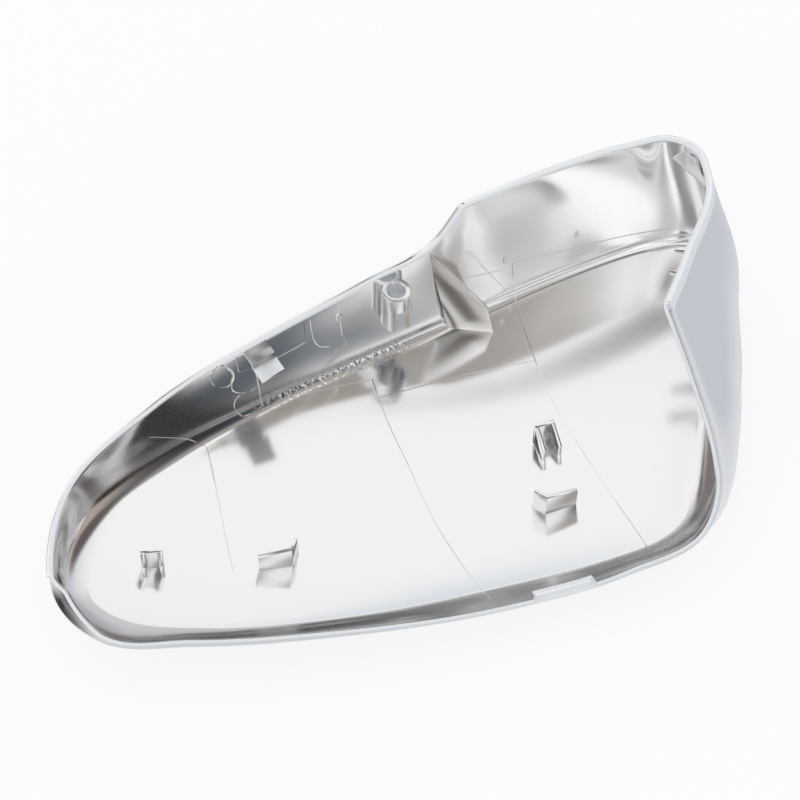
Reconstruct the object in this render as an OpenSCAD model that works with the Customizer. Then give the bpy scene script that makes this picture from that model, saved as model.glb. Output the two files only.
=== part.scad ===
// Wing mirror cover: a one-piece moulded and plated shell, seen lying on its outer face.
// +X runs from the narrow tip to the outer end, +Y to the tall wall, +Z up out of the opening.

/* [Cover] */
// Length of the cover from the narrow tip to the outer end
cover_l = 250; // [220:1:280]
// Width of the cover from the low wall's rim to the tall wall's rim
cover_w = 124; // [105:1:145]
// Height of the rim's highest corner above the face's lowest point
cover_h = 71; // [60:1:85]
// Thickness of the moulded wall
wall = 2.5; // [2:0.1:3.2]
// Radius of the main face along the cover
face_rx = 700; // [550:10:1000]
// Radius of the main face across the cover, at the place where it touches
face_ry = 600; // [500:10:900]
// How far beyond that place, towards the tall wall, the face stops getting steeper
face_flat = 37; // [34:1:60]
// How far the rounding between face and wall reaches along each
corner_run = 5; // [3:0.5:6]

/* [Rim] */
// Depth of the step cut round the outside of the rim, where the housing laps it
rebate_h = 3; // [2:0.5:4]
// Share of the wall's thickness left as the lip inside that step
lip_share = 0.45; // [0.35:0.05:0.6]
// How far the lip stands in from the wall round the tip
tip_gap = 3; // [1:0.5:3.5]
// Length of the notch in the low wall's lip
notch_l = 20; // [12:1:26]
// Depth of the notch in the low wall's lip
notch_h = 2; // [1:0.5:2.5]

/* [Clips] */
// Thickness of the plates that make the clips and gussets
plate = 1.3; // [1:0.1:1.6]
// Width of the two clip sockets on the main face
socket_w = 6.8; // [6:0.2:9]
// Height of the clip sockets above the main face
socket_h = 10; // [7:0.5:12]
// Length of the longer plate of each angled guide
guide_l = 10; // [8:0.5:13]
// Height of the angled guides
guide_h = 10.5; // [8:0.5:13]
// Width of the catch tongue under the tall wall's rim
tongue_w = 8.5; // [6:0.5:11]
// Length of the catch tongue out from the wall
tongue_l = 10.5; // [8:0.5:13]
// Step in the catch tongue
tongue_step = 2.5; // [1:0.5:4]
// Outer diameter of the hooded locating boss at its top
boss_d = 9.6; // [8.4:0.2:11]
// Height of the hooded locating boss
boss_h = 17; // [15:0.5:20]
// Diameter of the locating hole in the boss
hole_d = 6; // [5:0.1:6.5]
// Depth of the locating hole
hole_h = 5; // [3:0.5:7]

// Length of the pointed ribs inside the end wall
end_rib_l = 8; // [5:0.5:10]

/* [Hidden] */

// The outline, one row for each place where its curve changes. Each row gives the foot of
// the wall (x, y), its rim (x, y, z) and how far the wall bulges out between the two (mm).
// x is in hundredths of cover_l from the tip, y in hundredths of cover_w from the low
// wall's rim, z in hundredths of cover_h. The last number is 1 where the rim has a corner.
outline_rows = [
    [4, 54, 1, 53, 38, 2, 0],
    [7.5, 63.5, 4.5, 66.5, 39, 1, 0],
    [20, 77.3, 18.5, 83, 43, 1, 0],
    [35.5, 87, 34, 90, 51, 1, 0],
    [50, 92.1, 49, 94.5, 59, 1, 0],
    [60, 95.1, 59, 96.5, 69, 1, 0],
    [64.5, 96.1, 63, 98.5, 86, 1, 1],
    [77, 98.6, 74.5, 101, 86.5, 1, 0],
    [90, 98.6, 87, 102, 85.5, 1, 0],
    [96, 96.5, 92.5, 100.5, 85, 1, 0],
    [98.5, 92.8, 94.5, 96, 84.5, 1, 0],
    [99, 86, 94, 87, 86, 2, 0],
    [95, 67, 85.5, 63, 94, 6, 0],
    [89, 46, 79.5, 49, 99, 11, 1],
    [85, 33, 80.5, 34, 78, 10, 0],
    [81.5, 22, 81, 18.5, 56, 7, 0],
    [78.5, 15, 80.5, 11.5, 43.5, 5, 0],
    [75.5, 12, 78, 5.5, 34, 2, 0],
    [67, 11, 67, 2.5, 28, 1, 0],
    [53, 13, 52, 4, 26, 1, 0],
    [31, 18.5, 30, 12, 27, 1, 0],
    [15, 26, 13.5, 21, 29, 1.5, 0],
    [6, 34, 3.1, 28.4, 33.5, 2.5, 0],
    [3, 43, 0, 40.2, 36.5, 3, 0]
];
row_count = len(outline_rows);
// Rows between which the rim is rebated, and the row by the notch's middle
rebate_from = 13;
rebate_to = 23.55;
notch_at = 18.45;
// Row where the lip starts to stand in towards the tip
gap_from = 21.4;
// Distance between stations along the outline
station_gap = 10;
// Width of the steep side of a step or notch along the outline
step_run = 0.6;
// Shares of the way from the face's middle to its edge at which the rings lie
face_shares = [0.3, 0.55, 0.78];
fillet_rings = 4;
wall_rings = 6;
// Makes the bulge's largest value, a third of the way up the wall, equal to one
bulge_gain = 27 / 4;
// Where the face touches what it lies on, in the same hundredths as the outline
touch_at = [59.5, 61.5];

function place(p) = [p[0] * cover_l / 100, p[1] * cover_w / 100];
function row(i) = outline_rows[(i + row_count) % row_count];
function guide(i) = let(r = row(i), b = place(r), e = place([r[2], r[3]]))
    [b[0], b[1], e[0], e[1], r[4] * cover_h / 100, r[5]];
function span(i) = norm(guide(i + 1) - guide(i));
function chord(i) = (guide(i + 1) - guide(i)) / span(i);
function slope(i) = (chord(i) * span(i - 1) + chord(i - 1) * span(i)) / (span(i) + span(i - 1));
// A corner shows on the rim and fades out towards the foot
function cornered(s, c) = [s[0], s[1], c[2], c[3], c[4], s[5]];
function leaving(i) = row(i)[6] == 1 ? cornered(slope(i), chord(i)) : slope(i);
function arriving(i) = row(i)[6] == 1 ? cornered(slope(i), chord(i - 1)) : slope(i);
function hermite(a, b, ta, tb, t) = a * (2 * t ^ 3 - 3 * t ^ 2 + 1) + b * (3 * t ^ 2 - 2 * t ^ 3)
    + ta * (t ^ 3 - 2 * t ^ 2 + t) + tb * (t ^ 3 - t ^ 2);
// The outline's guide values at u, where whole numbers of u are the rows
function at(u) = let(i = floor(u), l = span(i))
    hermite(guide(i), guide(i + 1), leaving(i) * l, arriving(i + 1) * l, u - i);

touch = place(touch_at);
function face_z(p) = let(x = p[0] - touch[0], y = p[1] - touch[1])
    wall + x ^ 2 / (2 * face_rx) + y ^ 2 / (2 * face_ry) - y ^ 3 / (6 * face_ry * face_flat);
function on_face(p) = [p[0], p[1], face_z(p)];
function unit(v) = v / norm(v);

// Stations: evenly between the rows, with a close pair at each end of the rebate and the notch
function mark_run(u) = step_run / span(floor(u));
notch_half = notch_l / 2 / span(floor(notch_at));
marks = [rebate_from + mark_run(rebate_from), rebate_to - mark_run(rebate_to), rebate_to,
    notch_at - notch_half, notch_at - notch_half + mark_run(notch_at),
    notch_at + notch_half - mark_run(notch_at), notch_at + notch_half];
even = [for (i = [0:row_count - 1]) let(n = max(1, round(span(i) / station_gap)))
    for (k = [0:n - 1]) i + k / n];
function near_mark(u) = min([for (m = marks) abs(u - m) * span(floor(m))]);
function sorted(a) = len(a) < 2 ? a : let(m = a[floor(len(a) / 2)])
    concat(sorted([for (v = a) if (v < m) v]), [m], sorted([for (v = a) if (v > m) v]));
stations = sorted(concat(marks, [for (u = even) if (u == floor(u) || near_mark(u) > station_gap / 3) u]));
count = len(stations);

// Inner surface at one station, from the face's middle out to the rim; gap is 1 with the lip's
// gap round the tip and 0 for the even skin that the outer one is offset from
function outward(u) = let(d = at(u + 0.02) - at(u - 0.02)) unit([-d[1], d[0], 0]);
function wall_point(u, s) = let(g = at(u), foot = on_face([g[0], g[1]]), rim = [g[2], g[3], g[4]])
    foot + (rim - foot) * s + outward(u) * g[5] * bulge_gain * s * (1 - s) ^ 2;
function ease(t) = let(c = max(0, min(1, t))) c * c * (3 - 2 * c);
// How far the inner skin stands in at u, from nothing a third of the way up to the whole at the rim
function standing_in(u) = u < gap_from ? 0 : tip_gap * ease((rebate_to - u) * 2) * ease((u - gap_from) / 1.6);
function skin_point(u, s, gap) = wall_point(u, s) - outward(u) * gap * standing_in(u) * ease((s - 0.3) * 2);
function wall_l(u) = let(g = at(u)) norm([g[2], g[3], g[4]] - on_face([g[0], g[1]]));
function meridian(u, gap) = let(
    g = at(u),
    foot = [g[0], g[1]],
    run = norm(foot - touch),
    bend_a = on_face(foot + (touch - foot) * corner_run / run),
    s0 = corner_run / wall_l(u),
    s1 = 1 - rebate_h / wall_l(u),
    bend_b = wall_point(u, s0),
    pull_a = mix(bend_a, on_face(foot), 2 / 3),
    pull_b = bend_b - unit(wall_point(u, s0 * 1.1) - bend_b) * corner_run * 2 / 3
) concat(
    [for (s = face_shares) on_face(touch + (foot - touch) * s)],
    [for (k = [0:fillet_rings]) let(t = k / fillet_rings)
        bend_a * (1 - t) ^ 3 + pull_a * 3 * t * (1 - t) ^ 2 + pull_b * 3 * t ^ 2 * (1 - t) + bend_b * t ^ 3],
    [for (k = [1:wall_rings]) skin_point(u, s0 + (s1 - s0) * k / wall_rings, gap)],
    [skin_point(u, 1, gap)]);
inner = [for (u = stations) meridian(u, 1)];
even_skin = [for (u = stations) meridian(u, 0)];
rings = len(inner[0]);
function grid(i, j) = even_skin[(i + count) % count][j];
function before(j) = j == 0 ? 0 : j - 1;
function after(j) = j == rings - 1 ? j : j + 1;
function normal(i, j) = unit(cross(grid(i, after(j)) - grid(i, before(j)), grid(i + 1, j) - grid(i - 1, j)));
outer = [for (i = [0:count - 1]) [for (j = [0:rings - 1]) grid(i, j) + normal(i, j) * wall]];

function rebated(u) = u > rebate_from && u < rebate_to;
function notched(u) = abs(u - notch_at) < notch_half - mark_run(notch_at) / 2;
function mix(a, b, t) = a + (b - a) * t;
function lip_side(p, q) = p + unit(q - p) * wall * lip_share;
// The rim's edge at one station, from the outer skin's last ring to the inner skin's
function edge(i) = let(
    u = stations[i],
    low_in = inner[i][rings - 2],
    low_out = outer[i][rings - 2],
    cut = notched(u) ? notch_h / rebate_h : 0,
    top_in = mix(inner[i][rings - 1], low_in, cut),
    top_out = mix(outer[i][rings - 1], low_out, cut)
) rebated(u)
    ? [mix(low_out, lip_side(low_in, low_out), 1 / 2), lip_side(low_in, low_out),
        lip_side(top_in, top_out), top_in]
    : [top_out, mix(top_out, top_in, 1 / 3), mix(top_out, top_in, 2 / 3), top_in];

// One closed loop of points at each station: down the inside, across the rim and back outside
loops = [for (i = [0:count - 1]) concat(
    [for (j = [0:rings - 2]) inner[i][j]],
    [for (p = [3:-1:0]) edge(i)[p]],
    [for (j = [rings - 2:-1:0]) outer[i][j]])];
loop_l = len(loops[0]);

module shell() {
    points = concat([for (l = loops) for (p = l) p], [on_face(touch), on_face(touch) - [0, 0, wall]]);
    inside_mid = count * loop_l;
    function id(i, j) = (i % count) * loop_l + j;
    faces = concat(
        [for (i = [0:count - 1]) for (j = [0:loop_l - 2]) for (h = [0, 1])
            h == 0 ? [id(i + 1, j), id(i, j), id(i + 1, j + 1)]
                : [id(i + 1, j + 1), id(i, j), id(i, j + 1)]],
        [for (i = [0:count - 1]) [inside_mid, id(i, 0), id(i + 1, 0)]],
        [for (i = [0:count - 1]) [inside_mid + 1, id(i + 1, loop_l - 1), id(i, loop_l - 1)]]);
    polyhedron(points, faces);
}

// How deep each clip's root is sunk into the wall it grows from
root = 1.2;
round_fn = 48;
// Places of the clips on the main face, in the same hundredths as the outline
tip_socket_at = [12.4, 46.5];
end_socket_at = [66.1, 51.8];
tip_guide_at = [28.9, 38.2];
end_guide_at = [62.3, 31.5];
gusset_foot_at = [66.2, 88.5];
// Places of the clips on the walls: the row along the outline, then the share of the wall's height
tongue_at = [2.95, 0.93];
boss_at = [4.3, 0.45];
gusset_at = [4.9, 0.97];
web_low_at = [10.8, 0.75];
web_high_at = [9.6, 0.96];
end_ribs_at = [[11.8, 0.65], [12.1, 0.65]];
// Each socket's turn, its depth, and the height of its front as a share of socket_h
tip_socket = [-14, 3.4, 0.7];
end_socket = [0, 6.8, 0.6];
// Each guide's turn, the length of its short plate, and the bend between its plates
tip_guide = [171, 4, 120];
end_guide = [0, 4.4, 128];
// How much wider the boss is at its foot, and the share of the wall that it is sunk into
boss_taper = 0.6;
boss_sunk = 0.7;
// How far the far corner's web reaches from its higher end
web_reach = [-6, -2, 0];
end_rib_h = 6;

module on_floor(at) {
    translate(on_face(place(at))) children();
}
// The wall's surface at u and s: x runs along the wall, y out through it and z up it
module on_wall(at) {
    u = at[0];
    s = at[1];
    along = wall_point(u + 0.02, s) - wall_point(u - 0.02, s);
    z = unit(wall_point(u, s + 0.05) - wall_point(u, s - 0.05));
    y = unit(cross(z, along));
    x = cross(y, z);
    translate(wall_point(u, s)) rotate([atan2(y[2], z[2]), -asin(x[2]), atan2(x[1], x[0])]) children();
}
// A plate with the given outline in y and z, centred on x
module slab(width, outline) {
    translate([-width / 2, 0, 0]) rotate([90, 0, 90]) linear_extrude(width) polygon(outline);
}

// A three-sided socket: a back plate and two sloping cheeks, open towards the low wall
module socket(kind) {
    depth = kind[1];
    front_h = kind[2] * socket_h;
    cheek = [[plate, -root], [-depth, -root], [-depth, front_h], [0, socket_h], [plate, socket_h]];
    rotate([0, 0, kind[0]]) {
        slab(socket_w, [[0, -root], [plate, -root], [plate, socket_h], [0, socket_h]]);
        for (side = [-1, 1]) translate([side * (socket_w - plate) / 2, 0, 0]) slab(plate, cheek);
    }
}

// An angled guide: a long plate and a short one turned back from its end, with a mitred bend
module angled_guide(kind, side) {
    bend = kind[2];
    back = [cos(bend), sin(bend)];
    out = [-sin(bend), cos(bend)] * plate;
    mitre = -[cos(bend / 2), sin(bend / 2)] * plate / sin(bend / 2);
    rotate([0, 0, kind[0]]) scale([1, side, 1]) translate([0, 0, -root])
        linear_extrude(guide_h + root)
            polygon([[0, 0], [guide_l, 0], [guide_l, -plate], mitre, back * kind[1] + out, back * kind[1]]);
}

// The catch tongue under the tall wall's rim, a strip with one step
module tongue() {
    step_at = tongue_l * 0.45;
    slab(tongue_w, [[root, 0], [-step_at, 0], [-step_at, -tongue_step], [-tongue_l, -tongue_step],
        [-tongue_l, -tongue_step - plate], [-step_at + plate, -tongue_step - plate],
        [-step_at + plate, -plate], [root, -plate]]);
}

// The hooded locating boss on the tall wall, with a blind hole on top and a window below it
foot_d = boss_d + boss_taper;
boss_foot = wall_point(boss_at[0], boss_at[1]) - outward(boss_at[0]) * (foot_d / 2 - boss_sunk * wall);
module boss() {
    hood_h = boss_h - hole_h - plate;
    translate(boss_foot) difference() {
        cylinder(h = boss_h, d1 = foot_d, d2 = boss_d, $fn = round_fn);
        translate([0, 0, boss_h - hole_h]) cylinder(h = hole_h + 1, d = hole_d, $fn = round_fn);
        translate([0, 0, -1]) cylinder(h = hood_h + 1, d = boss_d - 2 * plate, $fn = round_fn);
        translate([-plate, -foot_d, plate]) cube([3 * plate, foot_d, hood_h - 2 * plate]);
    }
}

// A point just inside the wall's thickness
function in_wall(at) = wall_point(at[0], at[1]) + outward(at[0]) * root / 2;

// The gusset that leaves the tall wall below its step and stands on the main face
module gusset() {
    top = in_wall(gusset_at);
    foot = on_face(place(gusset_foot_at));
    run = foot - top;
    reach = norm([run[0], run[1]]);
    translate([top[0], top[1], foot[2]]) rotate([90, 0, atan2(run[1], run[0])])
        linear_extrude(plate, center = true) polygon([[reach * 0.3, -root], [reach, -root],
            [reach * 0.88, -run[2] * 0.32], [0, -run[2]]]);
}

// The thin web across the far corner below the rim
module corner_web() {
    a = in_wall(web_high_at);
    b = in_wall(web_low_at);
    c = a + web_reach;
    half = unit(cross(b - a, c - a)) * plate / 2;
    polyhedron([a + half, b + half, c + half, a - half, b - half, c - half],
        [[0, 2, 1], [3, 4, 5], [0, 1, 4, 3], [1, 2, 5, 4], [2, 0, 3, 5]]);
}

// A short pointed rib inside the end wall
module end_rib() {
    half = end_rib_h / 2;
    slab(plate, [[root, -half], [root, half], [-end_rib_l + 1, half], [-end_rib_l, half - 1]]);
}

// The middle of the cover's own box, where the origin lies
function middle(axis) = let(v = [for (l = loops) for (p = l) p[axis]]) (min(v) + max(v)) / 2;

module mirror_cover() {
    color("silver") translate([-middle(0), -middle(1), 0]) {
        shell();
        union() {
            on_floor(tip_socket_at) socket(tip_socket);
            on_floor(end_socket_at) socket(end_socket);
            on_floor(tip_guide_at) angled_guide(tip_guide, -1);
            on_floor(end_guide_at) angled_guide(end_guide, 1);
            on_wall(tongue_at) tongue();
            boss();
            gusset();
            corner_web();
            for (at = end_ribs_at) on_wall(at) end_rib();
        }
    }
}

mirror_cover();
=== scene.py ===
"""Wing mirror cover: a moulded and chrome-plated shell, lying on its outer face and seen into its inside."""
import math

import bmesh
import bpy
import numpy as np
from bpy.props import FloatProperty, FloatVectorProperty, IntProperty, PointerProperty
from mathutils import Matrix, Vector
from mathutils.bvhtree import BVHTree


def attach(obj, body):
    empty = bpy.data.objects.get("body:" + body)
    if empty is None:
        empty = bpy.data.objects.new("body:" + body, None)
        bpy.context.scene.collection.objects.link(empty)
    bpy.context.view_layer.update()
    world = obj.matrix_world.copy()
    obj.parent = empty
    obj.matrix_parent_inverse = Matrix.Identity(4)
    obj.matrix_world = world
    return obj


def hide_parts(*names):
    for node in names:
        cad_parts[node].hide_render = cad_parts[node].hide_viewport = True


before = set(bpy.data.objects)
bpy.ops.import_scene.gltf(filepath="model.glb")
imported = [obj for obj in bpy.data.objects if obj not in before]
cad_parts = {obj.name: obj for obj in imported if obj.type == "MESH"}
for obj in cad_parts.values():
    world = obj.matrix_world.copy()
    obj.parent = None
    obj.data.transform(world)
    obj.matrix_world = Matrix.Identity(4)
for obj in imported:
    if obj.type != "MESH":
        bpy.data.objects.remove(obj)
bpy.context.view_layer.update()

bl_info = {
    "name": "Wing mirror cover",
    "version": (1, 0, 0),
    "blender": (4, 5, 0),
    "location": "View3D > Sidebar > Mirror Cover",
    "description": "Builds the plated shell of a wing mirror cover with its clips, seams and studio stage",
    "category": "Object",
}

MM = 0.001
BODY = "root"

# Foot of the wall (x, y), its rim (x, y, z) in hundredths of length, width and height, its bulge in
# mm, and 1 where the rim has a corner. The same rows shape the cover in the frame.
OUTLINE = [
    (4, 54, 1, 53, 38, 2, 0), (7.5, 63.5, 4.5, 66.5, 39, 1, 0), (20, 77.3, 18.5, 83, 43, 1, 0),
    (35.5, 87, 34, 90, 51, 1, 0), (50, 92.1, 49, 94.5, 59, 1, 0), (60, 95.1, 59, 96.5, 69, 1, 0),
    (64.5, 96.1, 63, 98.5, 86, 1, 1), (77, 98.6, 74.5, 101, 86.5, 1, 0), (90, 98.6, 87, 102, 85.5, 1, 0),
    (96, 96.5, 92.5, 100.5, 85, 1, 0), (98.5, 92.8, 94.5, 96, 84.5, 1, 0), (99, 86, 94, 87, 86, 2, 0),
    (95, 67, 85.5, 63, 94, 6, 0), (89, 46, 79.5, 49, 99, 11, 1), (85, 33, 80.5, 34, 78, 10, 0),
    (81.5, 22, 81, 18.5, 56, 7, 0), (78.5, 15, 80.5, 11.5, 43.5, 5, 0), (75.5, 12, 78, 5.5, 34, 2, 0),
    (67, 11, 67, 2.5, 28, 1, 0), (53, 13, 52, 4, 26, 1, 0), (31, 18.5, 30, 12, 27, 1, 0),
    (15, 26, 13.5, 21, 29, 1.5, 0), (6, 34, 3.1, 28.4, 33.5, 2.5, 0), (3, 43, 0, 40.2, 36.5, 3, 0),
]
COVER_L, COVER_W, COVER_H = 250.0, 124.0, 71.0
# How far each guide value is smoothed along the outline, in mm, for the skin and for its outward directions
SKIN_REACH = (5, 5, 1.2, 1.2, 1.0, 5)
NORMAL_REACH = (5, 5, 4, 4, 4, 5)
# Points for each guide row, points of the even table made from them, and how many of those a heading and a
# change of row are read over
FINE_STEPS, TABLE_STEPS, HEADING_STEPS, RUN_STEPS = 400, 3000, 8, 5
# The main face's curves along and across, and how soon it flattens out across, in mm
FACE_RX, FACE_RY, FACE_FLAT = 700.0, 600.0, 37.0
# The power by which the face's rings crowd towards its edge
FACE_SPREAD = 0.9
# How far the fold at the wall's foot runs to each side, in mm
CORNER_RUN = 5.0
# The tighter corner at the low wall's foot, and the rows between which it comes and goes
LOW_CORNER_RUN = 1.2
LOW_CORNER_ROWS = (14.6, 16.0, 22.6, 23.8)
# The middle of the box, which is the frame's origin, and the face's lowest point, in mm from the tip's corner
MIDDLE = (124.029, 65.628)
TOUCH = (0.595 * COVER_L, 0.615 * COVER_W)
# The rows between which the rim is stepped, and the share of the wall that its lip keeps
REBATE = (13.0, 23.55)
LIP_SHARE = 0.45
# Round the tip the lip stands in: from which row, how far in mm, over how much of a row it comes and goes,
# and the shares of the wall's height between which the wall leans in with it
GAP_FROM, TIP_GAP = 21.4, 3.0
GAP_COMES, GAP_GOES = 1.6, 0.5
GAP_LEAN = (0.3, 0.8)
# The notch in the low wall's lip: its row and length, how far it is lowered and by which depth that has
# faded, how far the lip stands in there, and the shares of the wall's height between which it leans in
NOTCH_AT, NOTCH_L = 18.54, 20.0
NOTCH_DROP, NOTCH_FADE = 2.0, 3.0
NOTCH_IN = 2.2
NOTCH_LEAN = (0.66, 0.78)
# The length along the rim over which its steps come and go, in mm
STEP_RUN = 0.5
# Brings the bulge's highest point to the size in the table
BULGE_GAIN = 27 / 4
# The soft rise across the main face where two inserts of the mould meet: its middle line (x, y), its
# height, its half width, and the x at which it starts and ends, all in mm
RISE_LINE = [(75, 98), (89, 98.6), (103, 98), (116, 95.8), (132, 91.9), (145, 89.4), (159, 87.4),
             (172, 87.3), (193, 89), (205, 90.7), (220, 93.6)]
RISE_H, RISE_REACH = 0.5, 9.0
RISE_ENDS = (68, 95, 220, 238)

# The edge's section across the wall: the share of the wall from inside to outside, and mm below the rim
PLAIN_EDGE = [(0, 2.4), (0, 1.2), (0, 0.5), (0.03, 0.25), (0.1, 0.08), (0.2, 0.01), (0.34, 0), (0.42, 0),
              (0.5, 0), (0.58, 0), (0.66, 0), (0.73, 0), (0.8, 0.01), (0.9, 0.08), (0.97, 0.25), (1, 0.5),
              (1, 1.2), (1, 3.5)]
STEPPED_EDGE = [(0, 2.4), (0, 1.2), (0, 0.4), (0.02, 0.18), (0.08, 0.04), (0.14, 0), (0.27, 0), (0.36, 0.04),
                (0.42, 0.16), (0.45, 0.4), (0.45, 1.5), (0.45, 2.7), (0.49, 2.95), (0.7, 3), (0.88, 3.04),
                (0.96, 3.14), (1, 3.4), (1, 3.8)]
# How much deeper, in mm, the same points lie in the groove behind the lip round the tip
TIP_GROOVE = [0, 0, 0, 0, 0, 0, 0, 0, 0, 0, 0.3, 1.2, 2.2, 2.6, 1.6, 0.2, 0, 0]
# How far below the rim the wall's even rings end, in mm
EDGE_FOOT = 4.2
# Rings of the skin on the face, round the bend and up the wall
RINGS = (22, 10, 20)
# Points of the edge's section, counted from its first: the last on the wall's inside, the rim's narrow
# faces, the step's riser, and the groove
INSIDE_POINT = 4
NARROW_POINTS = (3, 17)
RISER_POINTS = (9, 12)
GROOVE_POINTS = (10, 15)
# How softly the main face and the groove mirror, where the low wall's inside has 1. Marks above a half also
# darken the plating with painted shade, fully in the groove at 2
FACE_SOFT, GROOVE_SOFT_AND_SHADE = 0.15, 2
# The crinkled band of the plating along the tall wall's foot: its strength, the rows where it comes and
# goes, and the distance from the foot over which it fades, in mm
CRINKLE = 0.3
CRINKLE_ROWS = (2.6, 3.0, 4.1, 4.6)
CRINKLE_FADE = (2.5, 5.5)

# The mould's seam lines on the main face (x, y in mm) and on the tall wall (x, y, z in mm)
FACE_SEAMS = [
    [(176.9, 120.4), (174.5, 98), (173.7, 76.2), (174.9, 63.3), (177.2, 41.1), (179.5, 20)],
    [(120.2, 105.6), (119.6, 93.2), (120.3, 68.1), (120.8, 48.1), (123, 30.6), (124.9, 19.7)],
    [(60, 96.6), (59.1, 87.8), (57.6, 76.5), (55.5, 61.5), (54.1, 50)],
    [(95.6, 106.6), (108, 106.3), (119.5, 105.5)],
    [(120.3, 98.1), (150.8, 96.9), (173.8, 94.2)],
]
WALL_SEAMS = [
    (0.2, [(179.5, 20, 6.8), (179.8, 15.4, 8.1), (179.8, 10.5, 11.1), (179.2, 4.5, 18.5)]),
    (0.2, [(124.9, 19.7, 7.5), (126, 16.1, 8.2), (126.8, 11, 11.8), (127.3, 6.4, 17)]),
    (0.2, [(176.7, 122.9, 20.6), (188.8, 123.7, 18.3), (201.9, 124.2, 16.1), (216.7, 124.1, 15.1),
           (227.4, 123.1, 14.5), (235.7, 121.5, 14.1)]),
    (0.2, [(176.5, 122.9, 20.7), (176.8, 122.2, 13.3), (177, 121, 6.5)]),
    (0.15, [(150.1, 119.8, 26), (160.6, 121.2, 22.5), (172.6, 122.3, 19.2)]),
    (0.2, [(42.7, 98.5, 21.4), (49.8, 99.3, 15.7), (55.5, 99.2, 11.4), (59.7, 97.1, 8.5)]),
    (0.3, [(76.1, 110.1, 34.6), (76.2, 109, 26.7)]),
    (0.15, [(76.6, 109.1, 26.5), (84.3, 110.4, 24.6), (94.6, 112.3, 24.8), (100.4, 113.3, 25.6)]),
    (0.3, [(81.7, 109.9, 25), (82.2, 108.7, 14.4), (82.4, 106.1, 7.6)]),
    (0.3, [(77.1, 107.6, 15.1), (74.5, 107.1, 15.4), (73, 106.3, 13.8), (72.9, 105.2, 10.5),
           (74.8, 104, 8.1), (78.4, 104.6, 7.4), (82.4, 106.1, 7.6)]),
    (0.22, [(73.3, 108, 23.8), (73.2, 107.5, 19.4), (75.8, 107.6, 16.4), (78.6, 107.9, 15),
            (81.6, 108.7, 15.3)]),
    (0.22, [(102.5, 114.3, 36), (102.7, 113.9, 30.1), (103.6, 113.7, 23.4), (105.9, 113.8, 19.1),
            (108.4, 114.1, 17.7)]),
    (0.3, [(100.2, 114, 36.9), (100.1, 113.5, 29.6)]),
    (0.3, [(112.4, 115.7, 37.6), (112.5, 115.4, 33.3)]),
    (0.2, [(112.9, 115.3, 28.7), (113.3, 115, 20.7)]),
    (0.3, [(113.8, 115.5, 30.3), (113.3, 115.5, 32.1), (112.2, 115.4, 32.8), (111.6, 115.3, 31.7),
           (112.1, 115.2, 29.9), (113.2, 115.4, 29.2), (113.8, 115.5, 30.3)]),
    (0.3, [(74.1, 108.5, 25.6), (73.9, 108.8, 28.6), (72.8, 109, 31.3), (71, 109.1, 33.1),
           (69.1, 108.9, 33.4), (67.6, 108.4, 32.5), (66.7, 107.9, 30.5), (66.9, 107.4, 27.7),
           (68, 107.2, 25), (69.8, 107.3, 23), (71.7, 107.6, 22.4), (73.3, 108.1, 23.3),
           (74.1, 108.5, 25.6)]),
    (0.6, [(73.3, 108.1, 23.6), (74.1, 108.5, 25.6), (73.9, 108.8, 28.6), (72.8, 109, 31.3)]),
]
# Ejector marks on the tall wall (x, y, z in mm)
MARKS = [(173.7, 122.8, 23.9), (200.5, 124.8, 23.4)]

# How deep plates are sunk into the shell and round pieces into the wall, and the rounding of edges, in mm
SUNK, WALL_SUNK, EDGE_ROUND = 1.2, 0.6, 0.14
# The clip sockets: name, place in hundredths of length and width, turn in degrees, depth in mm, and the
# height of the cheeks' front as a share of the socket's
SOCKETS = [("tip_socket", (12.4, 46.5), -14, 3.4, 0.7), ("end_socket", (66.1, 51.8), 0, 6.8, 0.6)]
# The angled guides: name, place, turn, length of the second plate in mm, angle between the plates, and side
GUIDES = [("tip_guide", (28.9, 38.2), 171, 4, 120, -1), ("end_guide", (62.3, 31.5), 0, 4.4, 128, 1)]
GUIDE_L, GUIDE_H = 10, 10.5
# How much lower a guide's top gets per mm along its first and its second plate
GUIDE_FALL, GUIDE_BACK_FALL = 0.14, 0.1
# From here a place on the wall is a row of the outline and a share of the wall's height
TONGUE_AT, TONGUE_W, TONGUE_L = (2.95, 0.93), 8.5, 10.5
TONGUE_STEP, TONGUE_STEP_AT = 2.5, 4.7
# How much wider the boss's foot is than its top, the share of the wall it is sunk into, and its window
BOSS_AT, BOSS_WIDER, BOSS_WALL_SHARE, BOSS_WINDOW = (4.3, 0.45), 0.3, 0.7, math.radians(52)
GUSSET_TOP, GUSSET_FOOT = (4.9, 0.97), (66.2, 88.5)
# The web's two ends on the rim, and its third corner from the first end
WEB_ENDS, WEB_REACH = ((9.6, 0.96), (10.8, 0.75)), Vector((-6, -2, 0))
# The end ribs and their outline: mm out through the wall and mm up it
RIBS_AT = ((11.7, 0.66), (11.95, 0.66))
RIB = [(SUNK, -3), (SUNK, 3), (-9.4, 8.4), (-10, 7.4)]
# Radius of the face's seam lines, the step along a line, and the share of its radius that it is sunk by
SEAM_R, BEAD_STEP, BEAD_SUNK = 0.2, 0.8, 0.3
# Half the width, depth and height of an ejector mark
MARK_HALVES = (0.75, 0.5, 1.9)

# The plating: its waviness and that of the shell's crinkled band, what satin and softness change, and the
# softness marks between which painted shade darkens its colour
WAVE_SCALE, WAVE_STRENGTH, WAVE_DEPTH = 60, 0.02, 0.0004
SHELL_WAVES = 0.01
CRINKLE_SCALE, CRINKLE_DEPTH = 700, 0.0006
SATIN_ROUGHNESS, SATIN_METALLIC = 0.5, 0.25
SOFT_ROUGHNESS, PAINTED_SHADE_FROM, PAINTED_SHADE_TO = 0.13, 0.5, 2

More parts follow.
